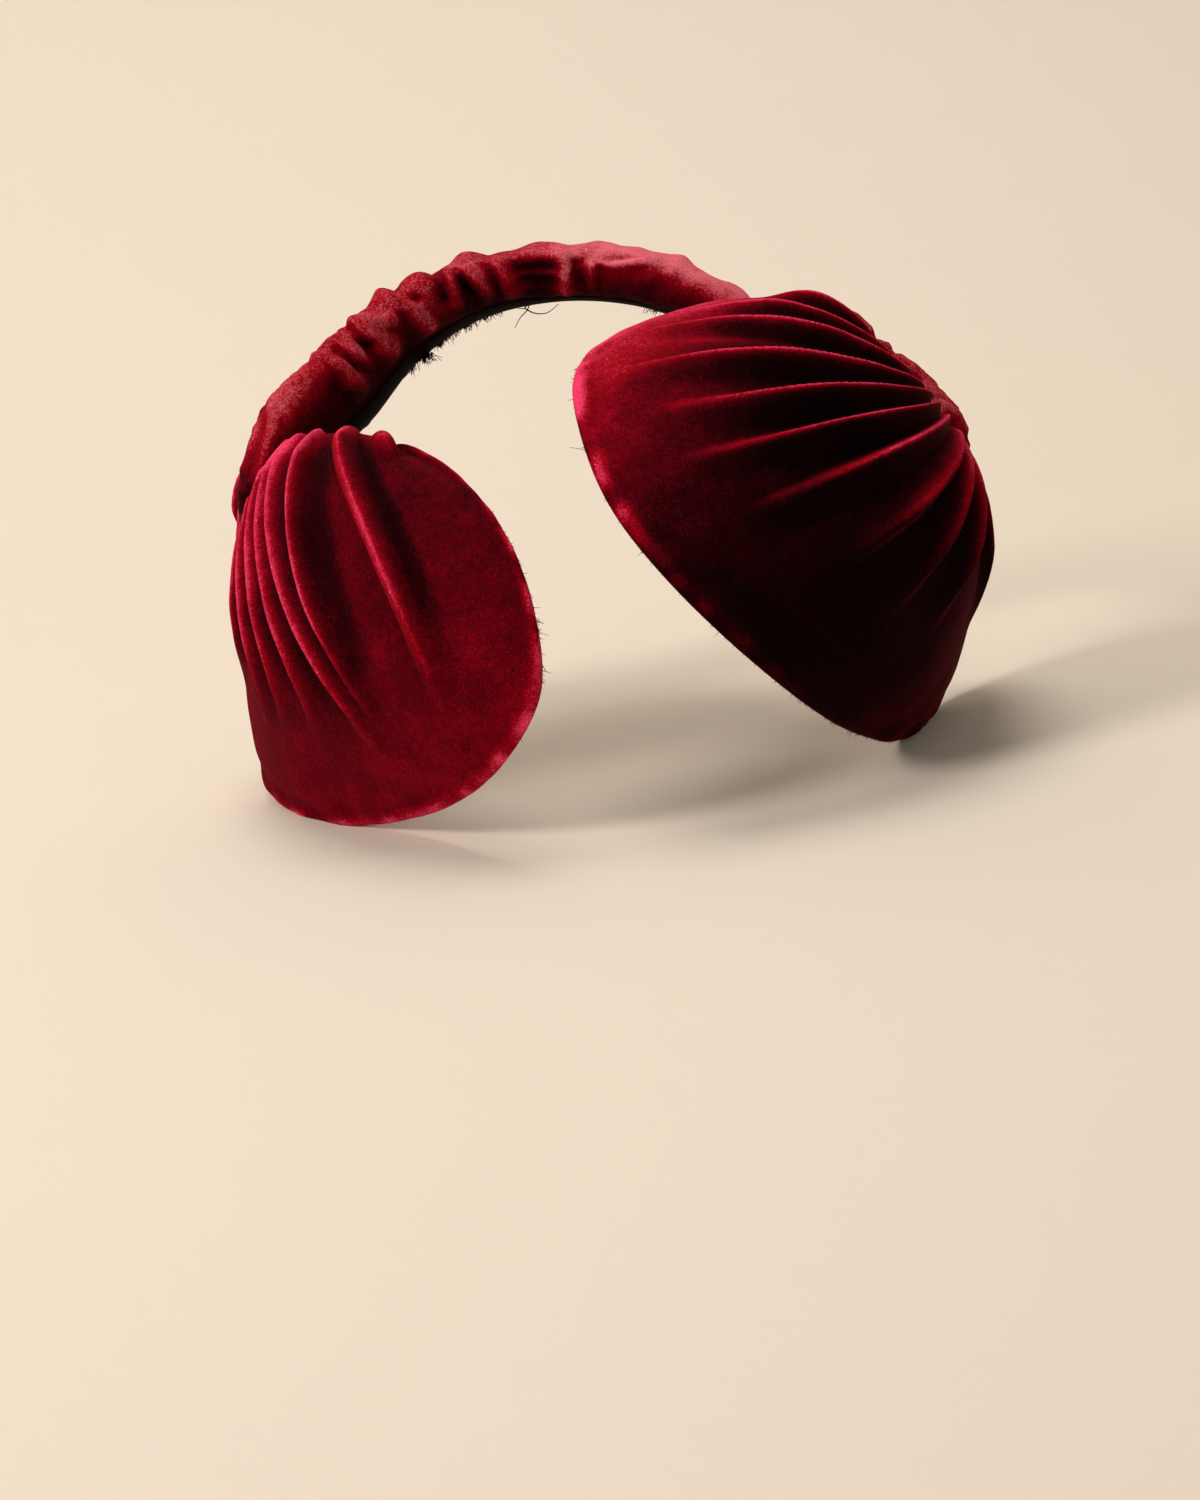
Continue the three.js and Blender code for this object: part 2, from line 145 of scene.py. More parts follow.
# The first two rows are the end that wraps the gather of the left fan. The
# places along the band are counted from the third row.
WRAP = 2
BAND_STEPS = len(BAND) - 1 - WRAP
BAND_START = -WRAP / BAND_STEPS

# %% Right fan table
RIGHT_FAN = {
    # x, y, z, place on the band, how firmly the band holds it
    "gather": np.array([
        [60, 4, 76, 0.75, 1],
        [76, -3, 67, 0.83, 1],
        [82.5, -9, 60.5, 0.88, 1],
        [88, -14, 54.5, 0.92, 1],
        [94, -14, 44, 0.97, 1],
        [101, -4, 36, 0.995, 1],
        [103, 10, 34, 0.995, 0.3],
    ]),
    # x, y, z, share of the gather line, bulge
    "rim": np.array([
        [56, 6, 71, 0.0, 5],
        [38, 2, 79, 0.05, 10],
        [14, -14, 81, 0.12, 16],
        [-4, -38, 78, 0.2, 18],
        [-6, -60, 70, 0.28, 22],
        [2, -82, 53, 0.36, 24],
        [18, -92, 34, 0.44, 24],
        [41, -89, 10, 0.54, 24],
        [62, -68, -13, 0.62, 23],
        [77.5, -43, -26.5, 0.7, 17],
        [87.5, -22, -31, 0.78, 11],
        [95, -4, -27, 0.86, 8],
        [99, 12, -12, 0.93, 5],
        [101, 20, 8, 1.0, 4],
    ]),
    # place at the gather, half way and at the end, reach, height,
    # width of the flank above and below
    "pleats": [
        (0.10, 0.08, 0.06, 0.56, 3.4, 2.6, 6.0),
        (0.19, 0.15, 0.13, 0.68, 3.8, 2.4, 7.0),
        (0.275, 0.215, 0.195, 0.79, 4.0, 2.2, 7.5),
        (0.385, 0.287, 0.229, 0.86, 4.6, 2.2, 8.0),
        (0.42, 0.344, 0.292, 0.9, 5.0, 2.0, 8.0),
        (0.45, 0.389, 0.343, 0.86, 5.4, 2.0, 8.5),
        (0.48, 0.43, 0.388, 0.86, 5.6, 2.0, 8.5),
        (0.51, 0.474, 0.449, 0.82, 5.4, 2.2, 7.0),
        (0.54, 0.525, 0.505, 0.80, 5.4, 8.0, 2.2),
        (0.555, 0.562, 0.56, 0.76, 4.8, 6.0, 2.2),
        (0.575, 0.60, 0.60, 0.70, 4.4, 5.5, 2.2),
        (0.60, 0.66, 0.70, 0.60, 3.8, 5.0, 2.4),
        (0.68, 0.74, 0.78, 0.60, 3.4, 5.0, 2.4),
        (0.78, 0.82, 0.85, 0.60, 3.2, 5.0, 2.4),
        (0.88, 0.90, 0.92, 0.60, 2.8, 5.0, 2.4),
    ],
    "knots": [],
}

# %% Left fan table
LEFT_FAN = {
    "gather": np.array([
        [-54, -43, 58, 0.06, 0],
        [-62, -38, 58, 0.05, 0],
        [-71, -31, 56, 0.05, 0.3],
        [-80, -21, 51.5, 0.03, 1],
        [-89, -12, 43, 0.01, 1],
        [-94, 0, 38, 0.01, 1],
        [-96, 11, 36, 0.02, 0.2],
    ]),
    "rim": np.array([
        [-50, -47, 58, 0.0, 0.5],
        [-36, -65, 55, 0.03, 2],
        [-24, -81, 46, 0.08, 8],
        [-16, -93, 30, 0.14, 14],
        [-14, -99, 8, 0.2, 19],
        [-24, -93, -14, 0.28, 22],
        [-38, -78, -31, 0.36, 22],
        [-56, -60, -43, 0.45, 21],
        [-75, -42, -50, 0.54, 16.5],
        [-90, -20, -50, 0.64, 10],
        [-93.5, 0, -42, 0.74, 6],
        [-94, 16, -24, 0.84, 5],
        [-95, 24, -4, 0.93, 6],
        [-94, 26, 16, 1.0, 5],
    ]),
    "pleats": [
        (0.322, 0.330, 0.394, 0.86, 5.8, 4.1, 4.1),
        (0.46, 0.452, 0.455, 0.80, 5.8, 2.4, 2.6),
        (0.55, 0.49, 0.471, 0.86, 5.2, 6.0, 2.4),
        (0.60, 0.525, 0.541, 0.78, 4.8, 5.0, 2.2),
        (0.65, 0.565, 0.594, 0.75, 4.4, 5.0, 2.2),
        (0.69, 0.61, 0.63, 0.75, 4.0, 5.0, 2.2),
        (0.74, 0.68, 0.69, 0.70, 3.6, 5.0, 2.4),
        (0.80, 0.76, 0.77, 0.70, 3.2, 5.0, 2.4),
        (0.87, 0.84, 0.85, 0.60, 3.0, 5.0, 2.4),
        (0.94, 0.92, 0.92, 0.60, 2.6, 5.0, 2.4),
    ],
    # place round the rim, share of the way out, height, radius
    "knots": [(0.165, 0.19, 4.6, 8.0)],
}


# %% Curves and directions
def smooth(value):
    """0 below 0, 1 above 1, and an easy slope between them."""
    v = np.clip(value, 0, 1)
    return v * v * (3 - 2 * v)


def peak(value, width, power):
    """1 at 0, falling away on both sides within about the width."""
    return np.exp(-(np.abs(value / width) ** power))


def through(rows, at):
    """A smooth curve through the rows of a table, at 0 to 1 of its length."""
    last = len(rows) - 1
    place = np.clip(at * last, 0, last - 1e-9)
    index = place.astype(int)
    f = (place - index)[..., None]
    ends = np.vstack([2 * rows[0] - rows[1], rows, 2 * rows[-1] - rows[-2]])
    a = ends[index]
    b = ends[index + 1]
    c = ends[index + 2]
    d = ends[index + 3]
    curve = 2 * a - 5 * b + 4 * c - d
    twist = 3 * (b - c) + d - a
    return b + 0.5 * f * (c - a + f * (curve + f * twist))


def unit(vectors):
    return vectors / np.linalg.norm(vectors, axis=-1, keepdims=True)


def away_from_dome(points):
    """Directions square to the dome's skin."""
    return unit(points / DOME**2)


# %% [markdown]
# Clouds of soft noise break every regular edge. The same noise, at other
# sizes, gives the small dents and creases that handling leaves in velvet.

# %% Noise over many points
def cloud(points, size, seed=0.0):
    """Noise from -1 to 1 at each point, with lumps about size across."""
    shift = Vector((seed, 2.3 * seed, -1.7 * seed))
    values = [noise.noise(Vector(p) / size + shift) for p in points.reshape(-1, 3)]
    return np.array(values).reshape(points.shape[:-1])


# %% [markdown]
# A fan is a stiff shell, gathered along one side and free on the other.
# Its surface is a straight fan from the gather line to the rim, swollen
# away from the dome. Its pleats stand on that surface. They were pressed
# and sewn, so each is drawn where the photograph has it: a simulation
# would let the cloth fall into folds of its own.

# %% Fan surface
# In a fan's functions, t runs along its rim and u from the gather to the rim.
def swell(u):
    """How far out the shell swells: nothing at both edges, most between."""
    return np.sin(np.pi * np.clip(u, 0, 1) ** 0.9) ** 0.85


def fan_surface(fan, t, u):
    """Points on a fan's plain shell."""
    rim = through(fan["rim"], t)
    gather = through(fan["gather"], np.clip(rim[..., 3], 0, 1))[..., :3]
    base = gather + (rim[..., :3] - gather) * u[..., None]
    return base + away_from_dome(base) * (rim[..., 4] * swell(u))[..., None]


def fan_facing(fan, t, u):
    """Outward direction, from short steps along the fan and out."""
    step = 0.002
    along = fan_surface(fan, np.clip(t + step, 0, 1), u)
    along = along - fan_surface(fan, np.clip(t - step, 0, 1), u)
    inner = np.clip(u, 0.03, 0.97)
    out = fan_surface(fan, t, inner + 0.02) - fan_surface(fan, t, inner - 0.02)
    facing = unit(np.cross(along, out))
    away = away_from_dome(fan_surface(fan, t, u))
    sign = np.sign((facing * away).sum(-1, keepdims=True))
    return facing * sign


def fan_girth(fan, u):
    """Length of the line across all pleats, in millimetres."""
    places = np.linspace(0, 1, 200)
    line = fan_surface(fan, places, np.full(200, u))
    return np.linalg.norm(np.diff(line, axis=0), axis=1).sum()


print("rims", [round(fan_girth(fan, 1.0)) for fan in (LEFT_FAN, RIGHT_FAN)])

# %% [markdown]
# A pleat's flanks say how it lies. A narrow flank drops steeply, a middling
# one is plump like a cord, and a wide one is an easy slope down to the next
# pleat. The crest gets a painted highlight, and the valleys beside it get painted shade.

# %% Pleats of a fan
PLUMP_FLANK = 3.5
EASY_FLANK = 4.2
STEEP_GLOW = 0.9
EASY_GLOW = 1.7
SHADE_STARTS = 5.0
SHADE_FADES = 6.0


def bent(start, middle, end, v):
    """A curve through three values, which stand at 0, a half and 1."""
    first = start * (1 - v) * (1 - 2 * v)
    return first + 4 * middle * v * (1 - v) + end * v * (2 * v - 1)


def across_pleat(off, flank, plump, easy, v):
    """Height across a pleat, from 1 on its crest to 0 at its foot."""
    side = flank * np.where(plump, 1.05 - 0.15 * v, 0.55 + 0.6 * v)
    x = np.clip(np.abs(off) / side, 0, 1)
    rounded = (np.sqrt(x * x + 0.01) - 0.1) / (np.sqrt(1.01) - 0.1)
    steep = np.cos(0.5 * np.pi * x) ** np.where(plump, 0.8, 1.2)
    return np.where(easy, (1 - rounded) ** 1.35, steep)


def pleat_height(fan, t, u, girth):
    """Height of the pleats, the painted highlight near a crest, and the zone of painted valley
    shade.
    """
    height = np.zeros_like(t)
    crest = np.zeros_like(t)
    zone = np.zeros_like(t)
    for start, middle, end, reach, top, above_it, below_it in fan["pleats"]:
        v = np.clip(u / reach, 0, 1)
        off = (t - bent(start, middle, end, v)) * girth
        flank = np.where(off < 0, above_it, below_it)
        easy = flank > EASY_FLANK
        plump = (flank > PLUMP_FLANK) & ~easy
        profile = across_pleat(off, flank, plump, easy, v) * (u < reach)
        fade = (0.35 + 0.65 * smooth(u / 0.12)) * (1 - smooth((v - 0.55) / 0.45))
        height = np.maximum(height, top * profile * fade)
        light = peak(off, np.where(easy, EASY_GLOW, STEEP_GLOW), 1.3)
        light = np.where(plump, 0.45 * profile + 0.4 * light, light)
        crest = np.maximum(crest, fade * light)
        shade = 1 - smooth((np.abs(off) - SHADE_STARTS) / SHADE_FADES)
        zone = np.maximum(zone, fade * np.where(plump & (off > 0), 0, shade))
    return height, crest, zone


# %% [markdown]
# The band is a soft roll, oval in section. Its frame gives, at each place
# along it, the middle of the roll and the directions along, out and across.

# %% Band surface
def band_frame(t):
    """Middle, directions, width and thickness of the roll at each place."""
    whole = (t - BAND_START) / (1 - BAND_START)
    row = through(BAND, whole)
    after = through(BAND, np.clip(whole + 1e-3, 0, 1))[..., :3]
    before = through(BAND, np.clip(whole - 1e-3, 0, 1))[..., :3]
    along = unit(after - before)
    centre = row[..., :3]
    out = away_from_dome(centre)
    out = unit(out - (out * along).sum(-1, keepdims=True) * along)
    tilt = -np.radians(row[..., 5:6])
    out = out * np.cos(tilt) + np.cross(along, out) * np.sin(tilt)
    return centre, along, out, np.cross(along, out), row[..., 3], row[..., 4]


def band_skin(t, angle, lift):
    """Points on the band's skin, angle in degrees, 0 at its front edge."""
    centre, _, out, across, width, thickness = band_frame(t)
    turned = np.radians(angle)
    a = (width / 2)[..., None]
    b = (thickness / 2)[..., None]
    cosine = np.cos(turned)[..., None]
    sine = np.sin(turned)[..., None]
    facing = unit(across * cosine / a + out * sine / b)
    return centre + across * a * cosine + out * b * sine + facing * lift[..., None]


# %% [markdown]
# A sheet of cloth begins as a flat grid. Every vertex knows its column and
# row, and one function lays it on the hat. The loose edges are closed
# afterwards, so the piece is a real wall and not a film.

# %% Grid helpers
FLOOR_GAP = 0.0002


def flat_grid(columns, rows):
    """A bmesh grid, with the column and row of each vertex as 0 to 1."""
    mesh = bmesh.new()
    bmesh.ops.create_grid(mesh, x_segments=columns, y_segments=rows, size=1.0)
    mesh.verts.ensure_lookup_table()
    mesh.verts.index_update()
    flat = np.array([v.co[:] for v in mesh.verts])
    across = (flat[:, 0] + 1) / 2
    down = (flat[:, 1] + 1) / 2
    return mesh, across, down


def lay(mesh, points):
    """Moves each vertex to its place, and lets none sink below the floor."""
    for vertex, point in zip(mesh.verts, points):
        vertex.co = (point[0], point[1], max(point[2], FLOOR_GAP))


def close(mesh):
    """Fills what is open and turns every face outwards."""
    loose = [e for e in mesh.edges if e.is_boundary]
    bmesh.ops.holes_fill(mesh, edges=loose, sides=0)
    bmesh.ops.recalc_face_normals(mesh, faces=mesh.faces)
    mesh.normal_update()


def finish_piece(name, mesh, node):
    """Makes a closed bmesh the object that stands for a solid of the hat."""
    data = bpy.data.meshes.new(name)
    mesh.to_mesh(data)
    mesh.free()
    data.polygons.foreach_set("use_smooth", [True] * len(data.polygons))
    piece = bpy.data.objects.new(name, data)
    bpy.context.scene.collection.objects.link(piece)
    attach(piece, "root")
    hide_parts(node)
    print(name, len(data.vertices), "vertices")
    return piece


# %% [markdown]
# Each fan is one long sheet: out along its face, round the turned edge and
# back along the inner side. Its two long edges meet where the band holds
# it, and are bridged there.

# %% Rows and places of a fan
ROWS_ROOT = 4
ROWS_FACE = 96
ROWS_RIM = 12
ROWS_BACK = 22
RIM_STARTS = ROWS_ROOT + ROWS_FACE
BACK_STARTS = RIM_STARTS + ROWS_RIM
FAN_ROWS = BACK_STARTS + ROWS_BACK + ROWS_ROOT
FAN_COLUMNS = 430
TACKS_ON_RIM = 42


def passed(row, start, count):
    """How much of a stretch of rows has been passed, from 0 to 1."""
    return np.clip((row - start) / count, 0, 1)


def fan_places(fan, t, row, seed):
    """Where each vertex lies on the plain shell, by name."""
    start = fan_surface(fan, t, np.zeros(t.shape))
    end = fan_surface(fan, t, np.ones(t.shape))
    reach = np.linalg.norm(end - start, axis=-1)
    edge = 1 - RIM_ROLL / 2 / reach
    u = edge * passed(row, ROWS_ROOT, ROWS_FACE) * (1 - passed(row, BACK_STARTS, ROWS_BACK))
    levels = np.linspace(0, 1, 21)
    girths = np.array([fan_girth(fan, level) for level in levels])
    tacks = np.stack([t * TACKS_ON_RIM, 0 * t, 0 * t], -1)
    return {
        "t": t,
        "u": u,
        "row": row,
        "start": start,
        "end": end,
        "reach": reach,
        "girth": np.interp(u, levels, girths),
        "to_rim": (1 - u) * reach,
        "base": fan_surface(fan, t, u),
        "facing": fan_facing(fan, t, u),
        "tacks": cloud(tacks, 1.0, seed + 5),
    }


# %% Relief of a fan
PUCKER_TOP = 0.9
PUCKER_FROM_RIM = 5.0
PUCKER_REACH = 7.0
HEM_DEPTH = 0.5
HEM_FROM_RIM = 8.5
HEM_WIDTH = 2.4


def fan_relief(fan, at, seed):
    """Height of pleats, knots, dents and hem, with the crests and zone."""
    u = at["u"]
    height, crest, zone = pleat_height(fan, at["t"], u, at["girth"])
    for place, outward, top, radius in fan["knots"]:
        sideways = (at["t"] - place) * at["girth"]
        far = np.hypot(sideways, (u - outward) * at["reach"]) / radius
        ball = np.cos(0.5 * np.pi * np.clip(far, 0, 1)) ** 0.8
        height = np.maximum(height, top * ball)
        crest = np.maximum(crest, 0.8 * ball**2)
    soft = 0.5 * cloud(at["base"], 26.0, seed) + 0.18 * cloud(at["base"], 9.0, seed + 3)
    roomy = smooth((at["reach"] - 18) / 22)
    near = smooth(1 - np.abs(at["to_rim"] - PUCKER_FROM_RIM) / PUCKER_REACH)
    puckers = PUCKER_TOP * at["tacks"] * near * roomy
    stitched = peak(at["to_rim"] - HEM_FROM_RIM, HEM_WIDTH, 2)
    hem = -HEM_DEPTH * stitched * (0.5 + 0.8 * at["tacks"]) * roomy
    return height + soft * smooth(u / 0.1) + puckers + hem, crest, zone


# %% Wall and root of a fan
def fan_wall(fan, at, height):
    """The face, the rolled rim and the inner side, a wall's width apart."""
    u = at["u"]
    thicker = 0.5 * (RIM_ROLL - CLOTH_WALL) * smooth(1 - at["to_rim"] / RIM_WIDTH)
    sink = PLEAT_SINK * smooth(u / 0.1) * (1 - smooth((u - 0.55) / 0.35))
    outer = at["base"] + at["facing"] * (height + thicker - sink)[..., None]
    inner = at["base"] - at["facing"] * (CLOTH_WALL + thicker + sink)[..., None]
    out = unit(at["end"] - fan_surface(fan, at["t"], np.full(u.shape, 0.94)))
    swing = (np.pi * (0.5 - passed(at["row"], RIM_STARTS, ROWS_RIM)))[..., None]
    half_wall = (outer - inner) / 2
    bead = RIM_ROLL / 2 * np.cos(swing)
    return (outer + inner) / 2 + half_wall * np.sin(swing) + out * bead


def draw_to_band(fan, at, points):
    """Draws the first and the last rows together, into the band's roll."""
    t = at["t"]
    share = np.clip(through(fan["rim"], t)[..., 3], 0, 1)
    held = through(fan["gather"], share)
    inward = at["start"] - fan_surface(fan, t, np.full(t.shape, 0.05))
    root = at["start"] + 0.4 * inward
    carrier = band_frame(np.clip(held[..., 3], 0, 1))[0]
    root = root + (carrier - root) * np.clip(held[..., 4], 0, 1)[..., None]
    first = 1 - passed(at["row"], 0, ROWS_ROOT)
    last = passed(at["row"], FAN_ROWS - ROWS_ROOT, ROWS_ROOT)
    return points + (root - points) * 0.96 * np.maximum(first, last)[..., None]


# %% [markdown]
# The camera sees velvet mostly by its sheen: the pile is dark where one
# looks straight into it and pale where it turns away. A value painted on
# each vertex says how much of that light the crests and the rim catch, as
# painted highlights. Faces that turn a given way also get painted light,
# and faces that turn from it get painted shade. A sheen layer alone could
# not give this: it lights every edge alike.

# %% Painted light and shade on the pile
CREST_LIGHT = 0.53
VALLEY_SHADE = 0.28
RIM_LIGHT = 0.46
# Painted light of each piece: a base, the way faces turn to get painted light and how much, and on
# the fans extra painted light near the hem, at the root and toward the top.
LEFT_LIGHT = {
    "base": 0.48,
    "painted_light_way": (0.35, -0.2, -0.6),
    "painted_light_gain": 0.18,
    "hem": 0.0,
    "root": 0.95,
    "upper": 0.0,
}
RIGHT_LIGHT = {
    "base": 0.22,
    "painted_light_way": (-0.32, 0.35, 0.88),
    "painted_light_gain": 0.5,
    "hem": 0.06,
    "root": 0.1,
    "upper": 0.5,
}
BAND_LIGHT = {"base": 0.5, "painted_light_way": (-0.1, -0.2, 0.97), "painted_light_gain": 0.4}


def fan_tone(at, crest, zone, seed, light):
    """Painted highlights on crests and the rim, painted shade in valleys, then painted light at
    hem, root and top.
    """
    # The rim's painted highlight is patchy, brightest at the tacks.
    uneven = 0.55 + 0.7 * at["tacks"] + 0.5 * cloud(at["base"], 5.0, seed + 8)
    edge = smooth(1 - (at["to_rim"] - 2) / 4) * np.clip(uneven, 0, 1.4)
    tone = CREST_LIGHT * crest - VALLEY_SHADE * zone * (1 - crest) + RIM_LIGHT * edge
    # Extra painted light near the hem, at the root and toward the top.
    tone = tone + light["hem"] * smooth((at["u"] - 0.72) / 0.3)
    tone = tone + light["root"] * smooth(1 - at["u"] / 0.15) * (0.25 + 0.75 * crest)
    return tone + light["upper"] * np.clip(0.36 - at["t"], -0.15, 0.3)


def paint_tone(mesh, tone, most, light):
    """Stores on each vertex how light its pile looks, from 0 to its most, with painted light and
    shade by the way each face turns.
    """
    layer = mesh.verts.layers.float.new("tone")
    painted_light_way = to_stand.to_3x3() @ Vector(light["painted_light_way"])
    for vertex, value, top in zip(mesh.verts, tone, most):
        # Faces turned the given way get painted light, and faces turned from it get painted shade.
        turned = light["painted_light_gain"] * vertex.normal.dot(painted_light_way)
        vertex[layer] = min(max(light["base"] + turned + value, 0.0), top)


# %% Build both fans
def build_fan(name, node, fan, seed, light):
    """Lays a fan's sheet, bridges its two long edges and paints its tone."""
    mesh, t, down = flat_grid(FAN_COLUMNS, FAN_ROWS)
    at = fan_places(fan, t, down * FAN_ROWS, seed)
    height, crest, zone = fan_relief(fan, at, seed)
    tone = fan_tone(at, crest, zone, seed, light)
    lay(mesh, stand(draw_to_band(fan, at, fan_wall(fan, at, height))))
    loose = [e for e in mesh.edges if e.is_boundary]
    gathered = [e for e in loose if abs(t[e.verts[0].index] - t[e.verts[1].index]) > 1e-6]
    bmesh.ops.bridge_loops(mesh, edges=gathered)
    close(mesh)
    paint_tone(mesh, tone, np.ones(len(tone)), light)
    return finish_piece(name, mesh, node)


left_fan = build_fan("left_fan_velvet", "left_fan", LEFT_FAN, 1.0, LEFT_LIGHT)
right_fan = build_fan("right_fan_velvet", "right_fan", RIGHT_FAN, 7.0, RIGHT_LIGHT)

# %% [markdown]
# The band's velvet is cut far longer than the band, so it stands in folds
# across it, closer together on the left of the picture. It is the same kind
# of grid as a fan, wrapped round into a tube and merged along its seam. A
# simulation would gather it too, but not in these places. So its folds are
# drawn as lines across the tube, each with a height and a width: a positive
# one is a gather, a negative one a crease between two gathers.

# %% Folds of the band
# height, half width, then places along and round the band
FOLDS = [
    (1.0, 2.2, (0.07, 30), (0.02, 5), (-0.03, -10)),
    (0.9, 2.2, (0.08, 75), (0.02, 55), (-0.03, 45)),
    (1.1, 6.6, (0.068, -8), (0.11, -5), (0.15, 10)),
    (2.3, 2.9, (0.15, 10), (0.16, -8), (0.165, -35), (0.165, -53)),
    (-1.8, 1.8, (0.168, -8), (0.173, -26), (0.177, -47)),
    (2.3, 2.9, (0.163, 16), (0.185, 13), (0.203, 4), (0.193, -20), (0.185, -38)),
    (-2.4, 2.0, (0.212, 40), (0.205, 4), (0.2, -20), (0.205, -41)),
    (2.8, 2.9, (0.21, 25), (0.223, 1), (0.233, -20), (0.238, -29)),
    (2.7, 3.1, (0.217, -5), (0.215, -32), (0.222, -60)),
    (-1.5, 1.4, (0.228, 60), (0.222, 19), (0.23, 3), (0.24, -15)),
    (1.5, 2.0, (0.23, -14), (0.242, -11)),
    (2.6, 2.6, (0.258, 40), (0.258, 4), (0.26, -17), (0.268, -32), (0.27, -47), (0.275, -68)),
    (-1.6, 1.5, (0.27, 50), (0.265, 4), (0.267, -17), (0.275, -26)),
    (1.5, 6.0, (0.288, 60), (0.29, -45)),
    (1.6, 2.6, (0.28, -2), (0.288, -2), (0.295, -11)),
    (-2.0, 1.8, (0.307, 60), (0.307, 10), (0.305, -20), (0.302, -44)),
    (2.0, 2.4, (0.32, 7), (0.315, -20), (0.31, -53)),
    (-2.6, 1.8, (0.323, 10), (0.325, -29), (0.33, -50)),
    (2.0, 2.4, (0.328, 1), (0.338, -23), (0.345, -47)),
    (-1.2, 1.8, (0.352, 5), (0.355, -50)),
    (1.7, 2.4, (0.365, 6), (0.367, -20), (0.37, -55)),
    (-1.6, 4.4, (0.38, -14), (0.393, -14), (0.408, -11)),
    (-1.2, 3.9, (0.383, -38), (0.405, -44)),
    (1.9, 1.9, (0.417, 10), (0.42, -17), (0.42, -62)),
    (-1.1, 2.0, (0.43, -5), (0.43, -50)),
    (0.9, 1.5, (0.445, -10), (0.45, -50)),
    (-1.0, 1.6, (0.453, -11), (0.453, -53)),
    (-1.0, 1.7, (0.46, 7), (0.47, 16), (0.48, 22)),
    (0.9, 1.8, (0.458, -5), (0.475, 4), (0.492, 16)),
    (2.2, 2.8, (0.735, 25), (0.743, 37), (0.76, 58), (0.792, 70)),
    (-1.5, 1.8, (0.753, 52), (0.763, 46)),
    (-1.7, 1.8, (0.777, 40), (0.79, 46), (0.8, 60), (0.812, 80)),
    (1.5, 2.4, (0.795, 67), (0.812, 70), (0.83, 70)),
    (-1.7, 1.8, (0.835, 61), (0.863, 46), (0.885, 34)),
    (1.5, 2.4, (0.853, 67), (0.878, 61), (0.902, 64)),
    (1.3, 2.4, (0.905, 49), (0.917, 70), (0.938, 73)),
    (1.5, 2.4, (0.925, 7), (0.93, 46), (0.948, 73), (0.973, 80)),
    (1.3, 2.0, (0.97, 1), (0.985, 22), (0.995, 40)),
    (1.3, 2.4, (0.06, 60), (0.07, 150)),
    (1.5, 2.4, (0.12, 50), (0.11, 140), (0.125, 190)),
    (1.5, 2.4, (0.17, 60), (0.185, 110), (0.17, 190)),
    (1.6, 2.6, (0.235, 70), (0.225, 130), (0.24, 190)),
    (2.0, 2.6, (0.34, 40), (0.335, 110), (0.35, 190)),
    (1.2, 2.4, (0.4, 70), (0.395, 150)),
    (1.3, 2.6, (0.45, 80), (0.46, 160)),
    (1.2, 2.6, (0.52, 80), (0.515, 150), (0.53, 190)),
    (1.2, 2.6, (0.58, 80), (0.59, 150)),
    (1.4, 2.4, (0.645, 60), (0.645, 120), (0.64, 190)),
    (1.4, 2.4, (0.7, 40), (0.69, 120), (0.7, 190)),
    (1.4, 2.4, (0.76, 100), (0.75, 160)),
    (1.4, 2.4, (0.82, 100), (0.83, 180)),
    (1.4, 2.4, (0.88, 100), (0.87, 170)),
    (1.4, 2.4, (0.94, 100), (0.95, 170)),
]

# %% Height of the folds
BAND_LENGTH = 234.5
BAND_RADIUS = 9.5
# The table's angles run from this one to a full turn after it.
FIRST_ANGLE = -100
# Cloth rounds a fold off, so each is raised a little and spread, or drawn in.
FOLD_GAIN = 1.25
GATHER_SPREAD = 1.2
CREASE_SPREAD = 0.9
# A narrow crease is sharp at its bottom, and a wide one is a round dent.
DENT_HALF_WIDTH = 3
CREASE_POWER = 1.3
DENT_POWER = 2.0
RIBBON_ANGLES = (208, 266)
RIBBON_SLOPE = 14


def from_line(x, y, corners):
    """Distance of each point from a line through the corners."""
    nearest = np.full_like(x, np.inf)
    for (ax, ay), (bx, by) in zip(corners, corners[1:]):
        dx = bx - ax
        dy = by - ay
        f = np.clip(((x - ax) * dx + (y - ay) * dy) / (dx * dx + dy * dy), 0, 1)
        nearest = np.minimum(nearest, np.hypot(x - ax - f * dx, y - ay - f * dy))
    return nearest


def ruching(t, angle):
    """Height of the gathers, and depth of the creases between them."""
    x = t * BAND_LENGTH
    around = np.mod(angle - FIRST_ANGLE, 360) + FIRST_ANGLE
    y = np.radians(around) * BAND_RADIUS
    ridge = np.zeros_like(t)
    crease = np.zeros_like(t)
    for top, half, *places in FOLDS:
        corners = [(a * BAND_LENGTH, math.radians(g) * BAND_RADIUS) for a, g in places]
        nearest = from_line(x, y, corners)
        if top > 0:
            fold = peak(nearest, GATHER_SPREAD * half, 2)
            ridge = np.maximum(ridge, FOLD_GAIN * top * fold)
        else:
            power = CREASE_POWER if half < DENT_HALF_WIDTH else DENT_POWER
            fold = peak(nearest, CREASE_SPREAD * half, power)
            crease = np.minimum(crease, FOLD_GAIN * top * fold)
    return ridge, crease


def clear_of_ribbon(angle):
    """0 where the ribbon lies flat on the band, 1 away from it."""
    middle = sum(RIBBON_ANGLES) / 2
    half_girth = (RIBBON_ANGLES[1] - RIBBON_ANGLES[0]) / 2
    off = np.abs(np.mod(angle - middle + 180, 360) - 180)
    return smooth((off - half_girth - 1) / RIBBON_SLOPE)


print(len(FOLDS), "folds")

# %% Relief and tone of the band
FINE_GATHERS = 85
# The most painted light that the band shows, at both sides and on top.
SIDES_MOST = 0.76
TOP_MOST = 1.0


def between(t, start, rise, end, fall):
    """1 on a stretch of the band, with an easy slope at both its ends."""
    return smooth((t - start) / rise) * (1 - smooth((t - end) / fall))


